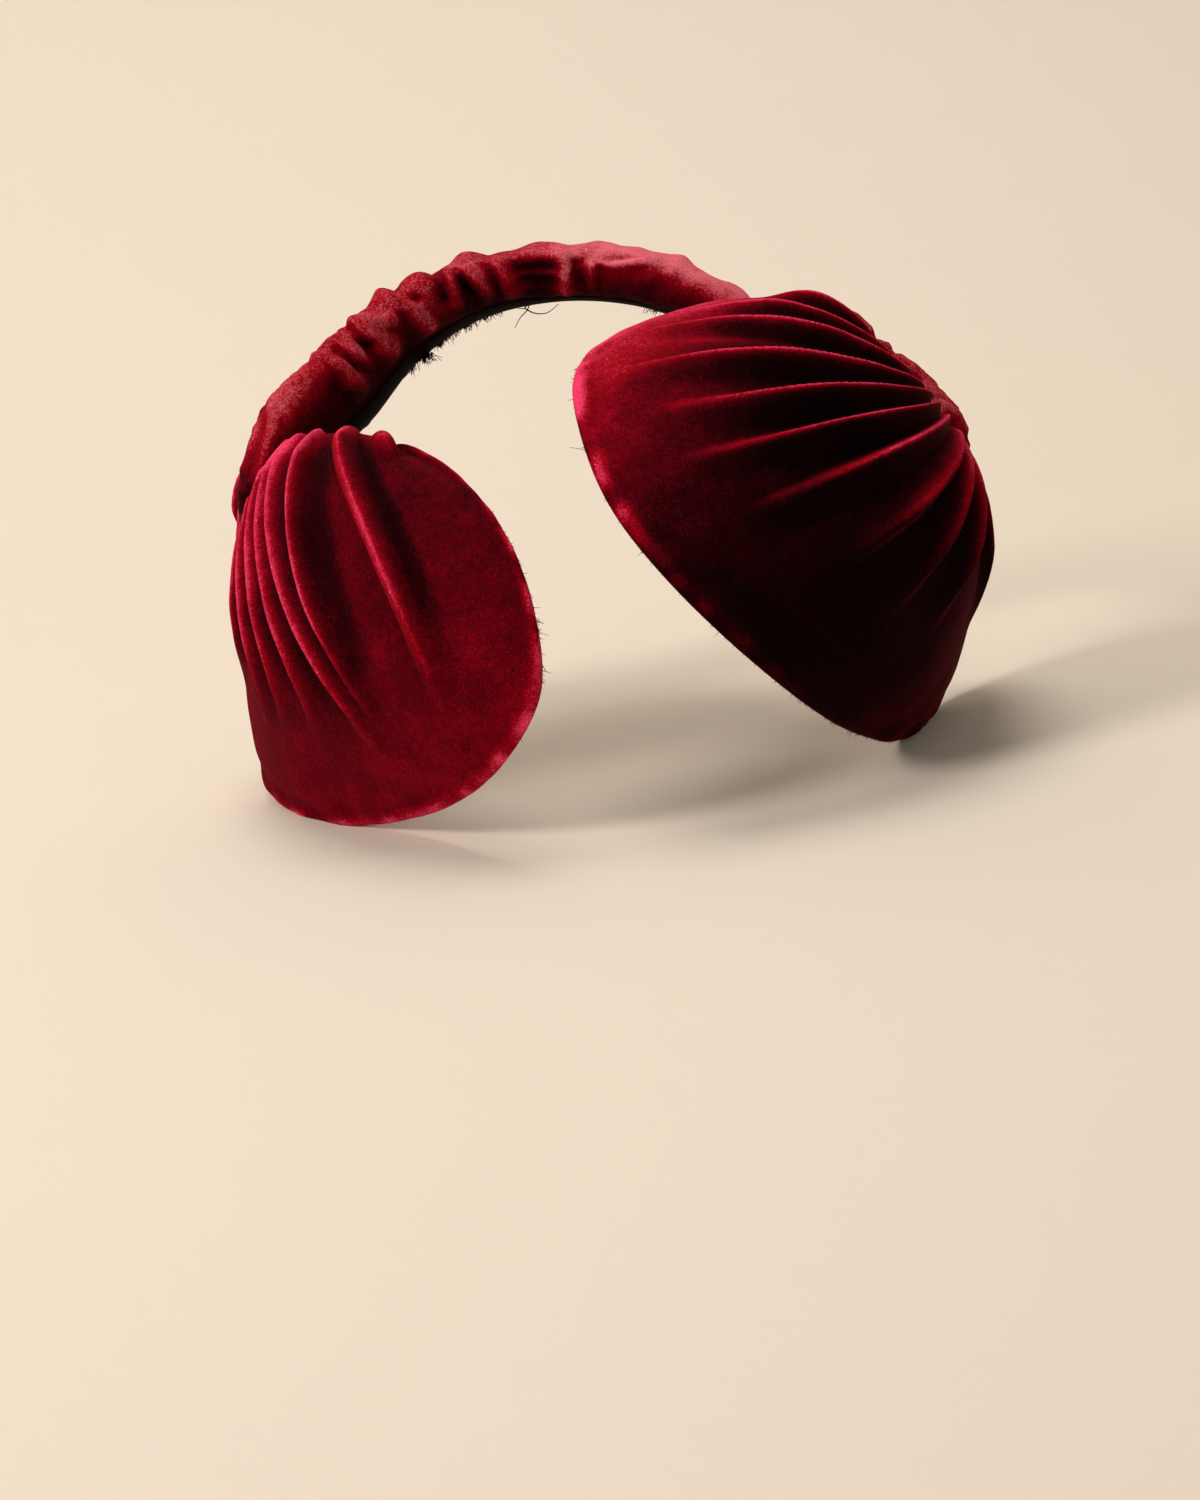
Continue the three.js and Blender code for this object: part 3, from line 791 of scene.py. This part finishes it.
def band_relief(t, angle, ridge, crease):
    """Height over the plain roll: the folds, soft dents and fine gathers."""
    skin = band_skin(t, angle, np.zeros_like(t))
    soft = 0.7 * cloud(skin, 13.0, 11.0) + 0.3 * cloud(skin, 4.5, 13.0)
    turned = np.radians(angle)
    tube = [t * FINE_GATHERS, 0.9 * np.cos(turned), 0.9 * np.sin(turned)]
    # The cloth is drawn smoother on the stretch from 0.62 to 0.7.
    gathered = 0.35 + 0.65 * smooth((0.62 - t) / 0.15 + smooth((t - 0.7) / 0.05))
    fine = 0.4 * cloud(np.stack(tube, -1), 1.0, 17.0) * gathered
    return (ridge + crease + soft + fine) * clear_of_ribbon(angle)


def band_tone(t, angle, ridge, crease):
    """Painted light and shade of the folds, and the most that each place may reach."""
    # The middle stretch is paler, with a painted sheen on its upper side; the rest is darker, the
    # wrapped end most.
    middle = smooth((t - 0.3) / 0.14) - smooth((t - 0.66) / 0.06)
    wrapped = 1 - smooth((t + 0.04) / 0.08)
    deep = 0.2 * (1 - middle) + 0.08 * wrapped
    upper_side = np.sin(np.radians(angle)).clip(0, 1)
    painted_top_sheen = 0.22 * between(t, 0.4, 0.1, 0.66, 0.06) * upper_side
    most = SIDES_MOST + (TOP_MOST - SIDES_MOST) * between(t, 0.36, 0.12, 0.67, 0.05)
    # Gathers get a painted highlight, and creases get painted shade.
    return 0.18 * ridge + 0.16 * crease + painted_top_sheen - deep, most


# %% Build the band
BAND_COLUMNS = 440
BAND_SIDES = 84
CAP_SHARE = 0.012
CAP_MM = 2.4
CAP_HOLE = 0.02


def round_ends(along, points, centre, forward):
    """Draws the first and last columns of the tube in to rounded caps."""
    before = np.clip(CAP_SHARE - along, 0, None) / CAP_SHARE
    after = np.clip(along - 1 + CAP_SHARE, 0, None) / CAP_SHARE
    past = before + after
    shrink = np.maximum(np.sqrt(np.clip(1 - past**2, 0, 1)), CAP_HOLE)[..., None]
    longer = CAP_MM * (after - before)[..., None]
    return centre + (points - centre) * shrink + forward * longer


def build_band():
    """Lays the band's sheet, merges it into a tube and paints its tone."""
    mesh, along, around = flat_grid(BAND_COLUMNS, BAND_SIDES)
    body = np.clip((along - CAP_SHARE) / (1 - 2 * CAP_SHARE), 0, 1)
    t = BAND_START + (1 - BAND_START) * body
    angle = around * 360
    ridge, crease = ruching(t, angle)
    points = band_skin(t, angle, band_relief(t, angle, ridge, crease))
    centre, forward = band_frame(t)[:2]
    lay(mesh, stand(round_ends(along, points, centre, forward)))
    # Merging the seam drops vertices, so the tones ride on the mesh until then.
    kept = [mesh.verts.layers.float.new(name) for name in ("fold", "most")]
    for vertex, *values in zip(mesh.verts, *band_tone(t, angle, ridge, crease)):
        for layer, value in zip(kept, values):
            vertex[layer] = value
    bmesh.ops.remove_doubles(mesh, verts=mesh.verts, dist=1e-6)
    close(mesh)
    tone, most = [[v[layer] for v in mesh.verts] for layer in kept]
    for name in ("fold", "most"):
        mesh.verts.layers.float.remove(mesh.verts.layers.float[name])
    paint_tone(mesh, tone, most, BAND_LIGHT)
    return finish_piece("band_velvet", mesh, "band_cover")


band = build_band()

# %% [markdown]
# Colours are read off the cloth as sRGB hex values, and the shader works
# in linear light, so one function turns the first into the second.

# %% Colour and node helpers
def linear(code):
    """Linear red, green and blue of an sRGB hex colour."""
    channels = [int(code[i : i + 2], 16) / 255 for i in (1, 3, 5)]
    return tuple(c / 12.92 if c <= 0.04045 else ((c + 0.055) / 1.055) ** 2.4 for c in channels)


def solid(code):
    """The colour with full opacity, as a shader socket wants it."""
    return (*linear(code), 1)


def add(tree, kind, settings=None, **links):
    """Adds a node; a link is a value or the socket that feeds it."""
    node = tree.nodes.new(kind)
    for key, value in (settings or {}).items():
        setattr(node, key, value)
    for key, value in links.items():
        name = key.replace("_", " ")
        socket = node.inputs[int(key[1:])] if key[1:].isdigit() else node.inputs[name]
        if isinstance(value, bpy.types.NodeSocket):
            tree.links.new(value, socket)
        else:
            socket.default_value = value
    return node


def spread(low, high, first, last):
    """Settings of a map range: low to high becomes first to last."""
    return {"From_Min": low, "From_Max": high, "To_Min": first, "To_Max": last}


def set_stops(ramp, stops):
    """Gives a colour ramp its stops, each a place and a colour."""
    elements = ramp.color_ramp.elements
    elements[0].position = stops[0][0]
    elements[1].position = stops[-1][0]
    for place, code in stops[1:-1]:
        elements.new(place)
    for element, (place, code) in zip(elements, stops):
        element.color = solid(code)


def new_material(name):
    """An empty node material, with its tree."""
    material = bpy.data.materials.new(name)
    material.use_nodes = True
    tree = material.node_tree
    tree.nodes.clear()
    return material, tree


print("deep pile, linear", [round(c, 3) for c in linear("#5e0010")])

# %% [markdown]
# Silk velvet has a short upright pile. It is near black where one looks
# into it and a light crimson along every edge that turns away. A sheen
# layer does part of that. The painted tone does the rest: painted
# highlights on crests and hems, and painted shade in the valleys. Noise adds
# what handling does, and a few bright specks are painted glints of silk
# ends, most on the painted crest light. Real tufts stand about 0.2 mm
# apart, too fine to show, so the grain is drawn coarser.

# %% Painted glints of silk
GLINT_MM = 1.3158
GLINT_COLOUR = "#ffb0b4"
TONE_OF_GLINTS = (0.64, 0.95)


def silk_glints(tree, at, tone):
    """How bright the painted glints of silk ends are: small, few, and most on the painted crest
    highlights.
    """
    cells = add(tree, "ShaderNodeTexVoronoi", Vector=at, Scale=1000 / GLINT_MM)
    chance = add(tree, "ShaderNodeSeparateColor", Color=cells.outputs["Color"])
    limits = [
        (cells.outputs["Distance"], spread(0.1, 0.16, 1.0, 0.0)),
        (chance.outputs[0], spread(0.74, 0.8, 0.0, 0.8)),
        (tone, spread(*TONE_OF_GLINTS, 0.04, 1.0)),
    ]
    bright = 1.0
    for value, limit in limits:
        part = add(tree, "ShaderNodeMapRange", Value=value, **limit).outputs[0]
        bright = add(tree, "ShaderNodeMath", {"operation": "MULTIPLY"}, i0=bright, i1=part)
        bright = bright.outputs[0]
    return bright


# %% Velvet
# Size in millimetres, roughness, and how far it moves the tone: strokes of
# a hand, small marks, and the grain of the pile.
PILE_PATTERNS = [
    (14.286, 0.55, 0.07),
    (1.923, 0.6, 0.05),
    (0.5882, 0.75, 0.13),
]
# The ramp turns the tone into colour: near black in painted shade, then crimson, and the light
# colour where the painted highlights are.
PILE_STOPS = [(0.02, "#0c0001"), (0.28, "#2a0005"), (0.5, "#5e0010"), (0.72, "#960418")]


def velvet(name, light, sheen, tint):
    """Pile that runs from near black in its painted shade to the light colour of its painted crest
    highlights.
    """
    material, tree = new_material(name)
    at = add(tree, "ShaderNodeTexCoord").outputs["Object"]
    tone = add(tree, "ShaderNodeAttribute", {"attribute_name": "tone"}).outputs["Fac"]
    lit = tone
    for size, roughness, most in PILE_PATTERNS:
        look = {"Scale": 1000 / size, "Detail": 3.0, "Roughness": roughness}
        pattern = add(tree, "ShaderNodeTexNoise", Vector=at, **look)
        move = spread(0.3, 0.7, -most, most)
        change = add(tree, "ShaderNodeMapRange", Value=pattern.outputs[0], **move).outputs[0]
        lit = add(tree, "ShaderNodeMath", {"operation": "ADD"}, i0=lit, i1=change).outputs[0]
    pile = add(tree, "ShaderNodeValToRGB", Fac=lit)
    set_stops(pile, PILE_STOPS + [(1.0, light)])
    # The pile colour, with painted glints mixed over it.
    colour = add(
        tree,
        "ShaderNodeMix",
        {"data_type": "RGBA"},
        i0=silk_glints(tree, at, tone),
        i6=pile.outputs["Color"],
        i7=solid(GLINT_COLOUR),
    )
    # The last and finest pattern is also what the pile feels like.
    bump = add(tree, "ShaderNodeBump", Height=pattern.outputs[0], Strength=0.5, Distance=0.4 * MM)
    shader = add(
        tree,
        "ShaderNodeBsdfPrincipled",
        Base_Color=colour.outputs[2],
        Roughness=0.8,
        Normal=bump.outputs["Normal"],
        Specular_IOR_Level=0.02,
        Sheen_Weight=sheen,
        Sheen_Roughness=0.3,
        Sheen_Tint=solid(tint),
    )
    add(tree, "ShaderNodeOutputMaterial", Surface=shader.outputs["BSDF"])
    return material


# The band's velvet is the same cloth; its lightest places are a paler pink, a painted sheen, and
# its sheen layer is weaker.
fan_velvet = velvet("crimson silk velvet", "#e63c68", 0.22, "#ff2a4c")
band_velvet = velvet("crimson velvet, pale painted sheen", "#e06c7c", 0.14, "#ff5070")
left_fan.data.materials.append(fan_velvet)
right_fan.data.materials.append(fan_velvet)
band.data.materials.append(band_velvet)
print("velvets", fan_velvet.name, "and", band_velvet.name)

# %% [markdown]
# The inner side of the band is a dark grosgrain ribbon. Only a strip of it
# shows: it is thin and ribbed, and its edges wander where they are worn. It
# could be a strip with a Solidify modifier, but so thin a strip folds over
# itself at its ends. A flat tube is closed from the start. Real ribs are
# under a millimetre apart, so these are drawn coarser, to show at all.

# %% Ribbon
RIB_MM = 4.4
# At a scale of 1, the bands of a wave texture are this many metres apart.
WAVE_BAND = math.tau / 20
FADED_MM = 11.11


def grosgrain(name):
    """Woven ribs in bump, on a near black brown that has faded in patches."""
    material, tree = new_material(name)
    at = add(tree, "ShaderNodeTexCoord").outputs["Object"]
    scale = 1000 * WAVE_BAND / RIB_MM
    ribs = add(tree, "ShaderNodeTexWave", Vector=at, Scale=scale, Distortion=1.5)
    faded = add(tree, "ShaderNodeTexNoise", Vector=at, Scale=1000 / FADED_MM, Detail=3.0)
    ramp = add(tree, "ShaderNodeValToRGB", Fac=faded.outputs[0])
    set_stops(ramp, [(0.35, "#080302"), (0.7, "#180b07")])
    bump = add(tree, "ShaderNodeBump", Height=ribs.outputs["Fac"], Strength=0.4, Distance=0.3 * MM)
    shader = add(
        tree,
        "ShaderNodeBsdfPrincipled",
        Base_Color=ramp.outputs["Color"],
        Roughness=0.7,
        Normal=bump.outputs["Normal"],
        Specular_IOR_Level=0.02,
    )
    add(tree, "ShaderNodeOutputMaterial", Surface=shader.outputs["BSDF"])
    return material


ribbon_material = grosgrain("dark brown grosgrain ribbon")

# %% Build the ribbon
# Where it starts and ends along the band, and its two edges round it.
RIBBON_START = 0.03
RIBBON_END = 0.89
FRONT_EDGE = (208, 224)
BACK_EDGE_AT = [0.0, 0.28, 0.36, 0.6, 0.66, 1.0]
BACK_EDGE = [262, 262, 276, 280, 258, 250]
WORN_DEGREES = 2.4
WAVES_ALONG = 130
RIBBON_COLUMNS = 260
RIBBON_SIDES = 24
RIBBON_LIFT = 0.25
RIBBON_HALF_WALL = 0.45


def build_ribbon():
    """A thin flat tube on the inner side of the band."""
    mesh, along, around = flat_grid(RIBBON_COLUMNS, RIBBON_SIDES)
    t = RIBBON_START + (RIBBON_END - RIBBON_START) * along
    turned = 2 * np.pi * around
    uneven = np.stack([t * WAVES_ALONG, np.cos(turned), 0 * t], -1)
    first = FRONT_EDGE[0] + (FRONT_EDGE[1] - FRONT_EDGE[0]) * smooth((t - 0.16) / 0.12)
    first = first + WORN_DEGREES * cloud(uneven, 1.0, 31.0)
    last = np.interp(t, BACK_EDGE_AT, BACK_EDGE) + WORN_DEGREES * cloud(uneven, 1.0, 35.0)
    angle = first + (last - first) * (0.5 - 0.5 * np.cos(turned))
    lift = RIBBON_LIFT + RIBBON_HALF_WALL * np.sin(turned)
    lay(mesh, stand(band_skin(t, angle, lift)))
    bmesh.ops.remove_doubles(mesh, verts=mesh.verts, dist=1e-6)
    close(mesh)
    return finish_piece("band_ribbon", mesh, "band_lining")


lining = build_ribbon()
lining.data.materials.append(ribbon_material)

# %% [markdown]
# Wear shows where the cloth was cut: the ribbon's edge has frayed, a few
# dark threads hang from it, and pile stands out of the rims. Each one is a
# thin round strand that starts inside the cloth it belongs to. A hair
# system could draw them, but an export leaves it out, so each strand is a
# curve with a round section that is made a mesh.

# %% Strands
STRAND_GAP = 0.0004
rng = np.random.default_rng(9)


def strands(name, paths, radius, material):
    """One mesh of round strands, each along its own points in millimetres."""
    curve = bpy.data.curves.new(name, "CURVE")
    curve.dimensions = "3D"
    curve.bevel_depth = radius * MM
    curve.bevel_resolution = 1
    curve.use_fill_caps = True
    for path in paths:
        steps = max(4, 3 * len(path))
        points = stand(through(np.array(path, float), np.linspace(0, 1, steps)))
        spline = curve.splines.new("POLY")
        spline.points.add(steps - 1)
        for k, point in enumerate(points):
            spline.points[k].co = (point[0], point[1], max(point[2], STRAND_GAP), 1)
            spline.points[k].radius = 1 - 0.6 * k / steps
    holder = bpy.data.objects.new(name + "_curve", curve)
    data = bpy.data.meshes.new_from_object(holder)
    data.name = name
    bpy.data.objects.remove(holder)
    piece = bpy.data.objects.new(name, data)
    bpy.context.scene.collection.objects.link(piece)
    data.materials.clear()
    data.materials.append(material)
    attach(piece, "root")
    print(name, len(paths), "strands")
    return piece


# %% Short hairs
def hairs(anchors, outwards, length, wild):
    """Short bent strands, one from each anchor, leaning outwards."""
    paths = []
    for anchor, out in zip(anchors, outwards):
        size = length * rng.uniform(0.5, 1.2)
        way = out + wild * rng.normal(size=3)
        bend = wild * rng.normal(size=3)
        start = anchor - 0.6 * out
        paths.append([start, start + way * size * 0.5, start + (way + 0.4 * bend) * size])
    return paths


def rim_hairs(fan, places, length, wild):
    """Hairs from inside the rolled rim, leaning out and a little forward."""
    t = np.array(places, float)
    ends = fan_surface(fan, t, np.full(len(t), 1.0))
    out = unit(ends - fan_surface(fan, t, np.full(len(t), 0.95)))
    out = unit(out + 0.3 * fan_facing(fan, t, np.full(len(t), 0.95)))
    return hairs(ends - 0.8 * out, out, length, wild)


def on_band(place, angle, lift):
    """One point on the band's skin."""
    return band_skin(np.array([place]), np.array([angle]), np.array([lift]))[0]


# %% Frayed ribbon and loose threads
# Places along the band; the front edge of the ribbon climbs round it.
FRAYED = [0.245, 0.285, 0.293, 0.306, 0.318, 0.325, 0.34, 0.352, 0.51, 0.54]
HAIRS_EACH = 36
EDGE_AT = [0.2, 0.27, 0.33, 0.42, 0.5]
EDGE_ANGLE = [212, 226, 236, 246, 250]
HANGING = [0.0, -0.25, -0.95]
TUFT_WAY = [0.2, -0.2, -0.6]
TUFT_SIZE = [1.4, 0.6, 0.7]
TUFT_HAIRS = 160
THREADS = [
    [(0, 0, 1), (-1.5, -1, -0.8), (-3.4, -2, -0.6)],
    [(0, 0, 1), (-0.6, -1, -1.2), (-2.6, -2, -3.2), (-4.2, -3, -6.0)],
    [(-1.5, -1, -0.8), (1.5, -2, -2.0), (5, -2, -1.8), (8, -1, 0.4)],
]
edge_places = rng.normal(np.repeat(FRAYED, HAIRS_EACH), 0.0035)
edge_angles = np.interp(edge_places, EDGE_AT, EDGE_ANGLE)
edge_points = band_skin(edge_places, edge_angles, np.full(len(edge_places), 0.6))
fray = hairs(edge_points, np.tile(HANGING, (len(edge_places), 1)), 1.3, 0.5)
tuft_points = on_band(0.262, 236.0, 0.8) + rng.normal(size=(TUFT_HAIRS, 3)) * TUFT_SIZE
tuft = hairs(tuft_points, np.tile(TUFT_WAY, (TUFT_HAIRS, 1)), 1.3, 0.7)
hang = on_band(0.385, 244.0, 0.4)
loose = [[hang + np.array(step) for step in path] for path in THREADS]
strands("ribbon_fray", fray + tuft, 0.12, ribbon_material)
strands("ribbon_threads", loose, 0.2, ribbon_material)

# %% Pile at the rims
# Places round the rim, then the length in millimetres and how wild it is.
left_fray = rim_hairs(LEFT_FAN, rng.normal(0.255, 0.006, 40), 1.7, 0.4)
left_fray += rim_hairs(LEFT_FAN, rng.normal(0.295, 0.006, 30), 1.5, 0.4)
left_fray += rim_hairs(LEFT_FAN, rng.uniform(0.12, 0.6, 500), 0.8, 0.5)
strands("left_rim_pile", left_fray, 0.09, fan_velvet)
right_fray = rim_hairs(RIGHT_FAN, rng.uniform(0.12, 0.8, 600), 0.8, 0.5)
right_fray += rim_hairs(RIGHT_FAN, [0.43, 0.432, 0.345], 4.5, 0.35)
strands("right_rim_pile", right_fray, 0.09, fan_velvet)

# %% [markdown]
# The set is a plain warm cream floor that curves up into the wall, and
# soft warm light from the upper left. The paper is clear where it is seen
# from its back, so the hat also shows from behind.

# %% Paper
# In metres: the paper's half width, its front, back and top, and its curve.
PAPER_HALF_WIDTH = 4.0
PAPER_FRONT = -2.0
PAPER_BACK = 0.3
PAPER_TOP = 4.0
CURVE_RADIUS = 0.35
CURVE_STEPS = 12


def cream_paper():
    """Matt paper that is clear from its back."""
    material, tree = new_material("warm cream paper")
    shader = add(
        tree,
        "ShaderNodeBsdfPrincipled",
        Base_Color=solid("#e2dacf"),
        Roughness=0.95,
        Specular_IOR_Level=0.1,
    )
    side = add(tree, "ShaderNodeNewGeometry").outputs["Backfacing"]
    clear = add(tree, "ShaderNodeBsdfTransparent").outputs["BSDF"]
    paper = add(tree, "ShaderNodeMixShader", i0=side, i1=shader.outputs["BSDF"], i2=clear)
    add(tree, "ShaderNodeOutputMaterial", Surface=paper.outputs["Shader"])
    return material


# %% Floor and wall
def cove():
    """A floor whose back edge is drawn up into a curve and a wall."""
    mesh = bmesh.new()
    bmesh.ops.create_grid(mesh, x_segments=1, y_segments=1, size=1.0)
    for vertex in mesh.verts:
        depth = PAPER_FRONT + (vertex.co.y + 1) / 2 * (PAPER_BACK - PAPER_FRONT)
        vertex.co = (vertex.co.x * PAPER_HALF_WIDTH, depth, 0.0)
    back = [e for e in mesh.edges if all(v.co.y > 0 for v in e.verts)]
    for step in range(1, CURVE_STEPS + 1):
        grown = bmesh.ops.extrude_edge_only(mesh, edges=back)
        back = [g for g in grown["geom"] if isinstance(g, bmesh.types.BMEdge)]
        angle = math.pi / 2 * step / CURVE_STEPS
        for vertex in {v for e in back for v in e.verts}:
            vertex.co.y = PAPER_BACK + CURVE_RADIUS * math.sin(angle)
            vertex.co.z = CURVE_RADIUS * (1 - math.cos(angle))
    grown = bmesh.ops.extrude_edge_only(mesh, edges=back)
    for g in grown["geom"]:
        if isinstance(g, bmesh.types.BMVert):
            g.co.z = PAPER_TOP
    data = bpy.data.meshes.new("cove")
    mesh.to_mesh(data)
    mesh.free()
    data.polygons.foreach_set("use_smooth", [True] * len(data.polygons))
    piece = bpy.data.objects.new("cove", data)
    bpy.context.scene.collection.objects.link(piece)
    data.materials.append(cream_paper())
    wall = data.polygons[len(data.polygons) - 1]
    print("wall faces", [round(n, 2) for n in wall.normal])
    return piece


cove()

# %% Lights
def panel(name, place, target, size, watts, code):
    """A round soft light, turned from its place to its target."""
    data = bpy.data.lights.new(name, "AREA")
    data.shape = "DISK"
    data.size = size
    data.energy = watts
    data.color = linear(code)
    lamp = bpy.data.objects.new(name, data)
    bpy.context.scene.collection.objects.link(lamp)
    way = Vector(target) - Vector(place)
    lamp.location = place
    lamp.rotation_euler = way.to_track_quat("-Z", "Y").to_euler()
    return lamp


key = panel("key", (-1.15, -0.75, 1.05), (0, 0, 0.06), 0.5, 16.0, "#fff5ea")
fill = panel("fill", (0.9, -1.6, 0.8), (0, 0, 0.06), 1.4, 2.0, "#ffeeda")
top = panel("top", (-0.1, 0.2, 1.4), (0, 0, 0.08), 0.7, 9.0, "#fff6ea")
print("watts", [lamp.data.energy for lamp in (key, fill, top)])

# %% Light of the room
ROOM_LIGHT = 0.27
world = bpy.data.worlds.new("room")
world.use_nodes = True
sky = world.node_tree.nodes["Background"].inputs
sky["Color"].default_value = solid("#fff5ec")
sky["Strength"].default_value = ROOM_LIGHT
bpy.context.scene.world = world
bpy.context.scene.view_settings.view_transform = "Standard"
bpy.context.scene.view_settings.look = "None"
print("room light", ROOM_LIGHT)

# %% [markdown]
# Last, both fans print how much cloth their walls take.

# %% Cloth of the fans
def cloth_area(piece):
    """Half the surface of a closed wall, in square metres."""
    return sum(p.area for p in piece.data.polygons) / 2


print("cloth", round(cloth_area(left_fan), 4), round(cloth_area(right_fan), 4))
